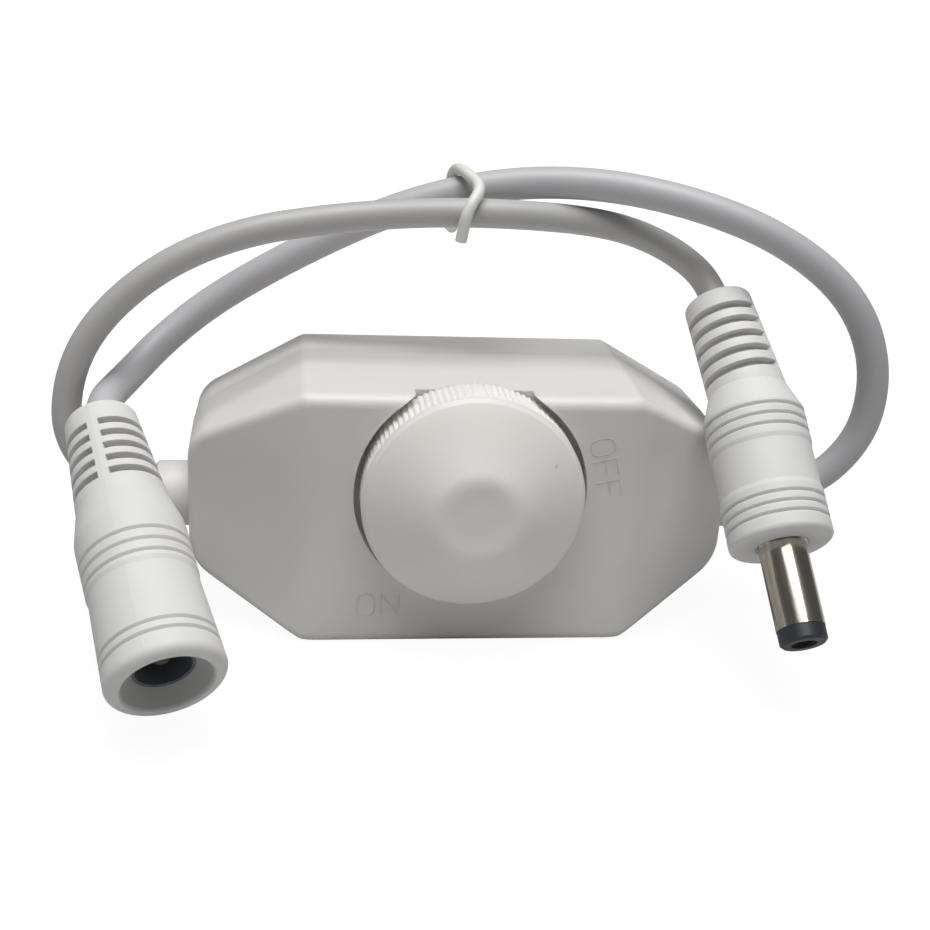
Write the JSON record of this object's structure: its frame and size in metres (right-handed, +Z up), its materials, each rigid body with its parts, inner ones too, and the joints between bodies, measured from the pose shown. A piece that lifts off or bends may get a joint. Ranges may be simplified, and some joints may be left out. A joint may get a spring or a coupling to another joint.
{
  "type": "inline dimmer switch",
  "caption": "Inline dimmer in an octagonal two-part housing with a knurled turning knob and short cords ending in a barrel jack and a barrel plug.",
  "frame": {"origin": "on the standing surface, below the middle of the housing and knob", "axes": "+X along the housing towards the input cord, +Y out of the rear face, +Z up; the knob faces -Y"},
  "size_m": [0.1031, 0.0525, 0.0548],
  "materials": {
    "housing_plastic": "satin off-white moulding",
    "rear_plastic": "satin off-white moulding",
    "knob_plastic": "satin warm white moulding",
    "collar_plastic": "satin off-white moulding",
    "screw_steel": "zinc-plated",
    "pot_steel": "plated sheet",
    "shaft_plastic": "plain moulding",
    "spring_metal": "spring strip",
    "laminate": "phenolic laminate",
    "terminal_metal": "tinned",
    "board_laminate": "solder mask",
    "capacitor_can": "drawn can",
    "package_plastic": "black moulding",
    "chip_ceramic": "sintered",
    "live_lead": "insulation",
    "return_lead": "insulation",
    "output_cord_sheath": "neutral white sheath",
    "input_cord_sheath": "cool white sheath",
    "tie_plastic": "coated wire",
    "connector_plastic": "soft matt moulding",
    "insulator_plastic": "black moulding",
    "contact_metal": "nickel plate"
  },
  "bodies": {
    "housing": {"front_cover": "housing_plastic", "rear_cover": "rear_plastic", "housing_screws": "screw_steel", "pot_case": "pot_steel", "pot_bushing": "pot_steel", "pot_wafer": "laminate", "pot_terminals": "terminal_metal", "switch_base": "laminate", "switch_terminals": "terminal_metal", "circuit_board": "board_laminate", "filter_capacitor": "capacitor_can", "power_transistor": "package_plastic", "timer_chip": "package_plastic", "guard_diode": "package_plastic", "chip_resistors": "chip_ceramic", "chip_capacitors": "chip_ceramic", "output_lead_live": "live_lead", "output_lead_return": "return_lead", "input_lead_live": "live_lead", "input_lead_return": "return_lead", "output_collar": "collar_plastic", "input_collar": "collar_plastic", "output_cord": "output_cord_sheath", "input_cord": "input_cord_sheath", "twist_tie": "tie_plastic", "jack_body": "connector_plastic", "jack_insulator": "insulator_plastic", "jack_centre_pin": "contact_metal", "jack_spring": "spring_metal", "plug_body": "connector_plastic", "plug_barrel": "contact_metal", "plug_tip_insulator": "insulator_plastic", "plug_inner_contact": "contact_metal"},
    "dial": {"knob": "knob_plastic", "pot_shaft": "shaft_plastic", "pot_rotor": "shaft_plastic", "pot_wiper": "spring_metal"}
  },
  "joints": [
    {"name": "knob_turn", "type": "hinge", "parent": "housing", "child": "dial", "pos_m": [0, 0, 0.0197], "axis": [0, -1, 0], "range_deg": [-150, 150]}
  ]
}
